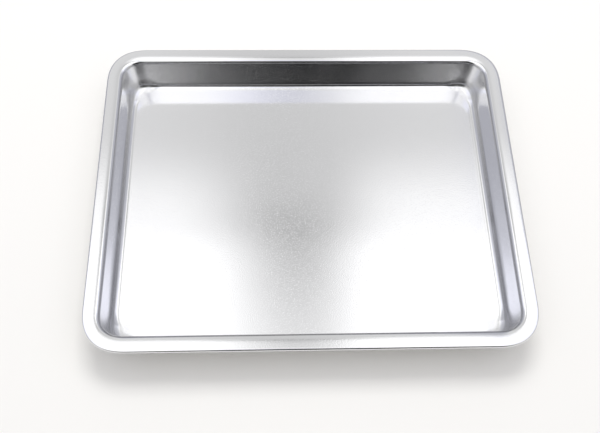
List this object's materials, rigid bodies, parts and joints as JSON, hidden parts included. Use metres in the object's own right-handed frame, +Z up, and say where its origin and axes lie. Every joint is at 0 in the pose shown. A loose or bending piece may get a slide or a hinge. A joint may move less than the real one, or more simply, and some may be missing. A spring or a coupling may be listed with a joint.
{
  "type": "roasting tray",
  "caption": "Shallow rectangular roasting tray pressed from aluminium sheet, with steep walls, round corners and a flat rim with a turned-down edge, for roasting and baking food.",
  "frame": {"origin": "centre of the underside, on the surface that the tray stands on", "axes": "+X along the two long sides, +Y across to the other long side, +Z up out of the open top"},
  "size_m": [0.35, 0.28, 0.035],
  "materials": {
    "aluminium": "bright rolled sheet, mirror-like with a fine rolling grain"
  },
  "bodies": {
    "root": {"tray": "aluminium"}
  },
  "joints": []
}
